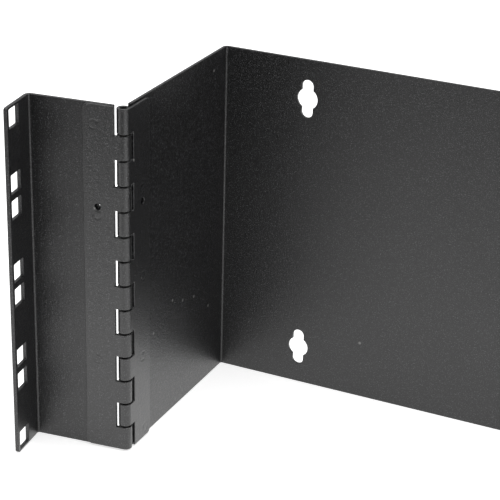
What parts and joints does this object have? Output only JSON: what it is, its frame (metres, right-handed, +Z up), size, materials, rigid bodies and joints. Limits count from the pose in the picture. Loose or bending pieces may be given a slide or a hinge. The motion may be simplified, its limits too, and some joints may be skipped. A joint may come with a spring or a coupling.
{
  "type": "hinged wall-mount rack bracket",
  "caption": "Hinged wall bracket for standard-width rack equipment: folded sheet channel with keyholes, a fixed rack flange, and a swing-out rack flange on a continuous hinge.",
  "frame": {"origin": "middle of the back panel's face that lies on the wall", "axes": "+X to the right along the wall, +Y into the wall, +Z up"},
  "size_m": [0.5463, 0.152, 0.177],
  "materials": {
    "bracket_coat": "black powder coat, semi-matt, fine texture",
    "hinge_coat": "black powder coat, semi-matt",
    "pin_steel": "dark drawn wire"
  },
  "bodies": {
    "wall_side": {"wall_bracket": "bracket_coat", "fixed_hinge_leaf": "hinge_coat", "hinge_pin": "pin_steel"},
    "swing_side": {"swing_bracket": "bracket_coat", "moving_hinge_leaf": "hinge_coat"}
  },
  "joints": [
    {"name": "swing_hinge", "type": "hinge", "parent": "wall_side", "child": "swing_side", "pos_m": [-0.2492, -0.1038, 0], "axis": [0, 0, 1], "range_deg": [-81.4, 83.6]}
  ]
}
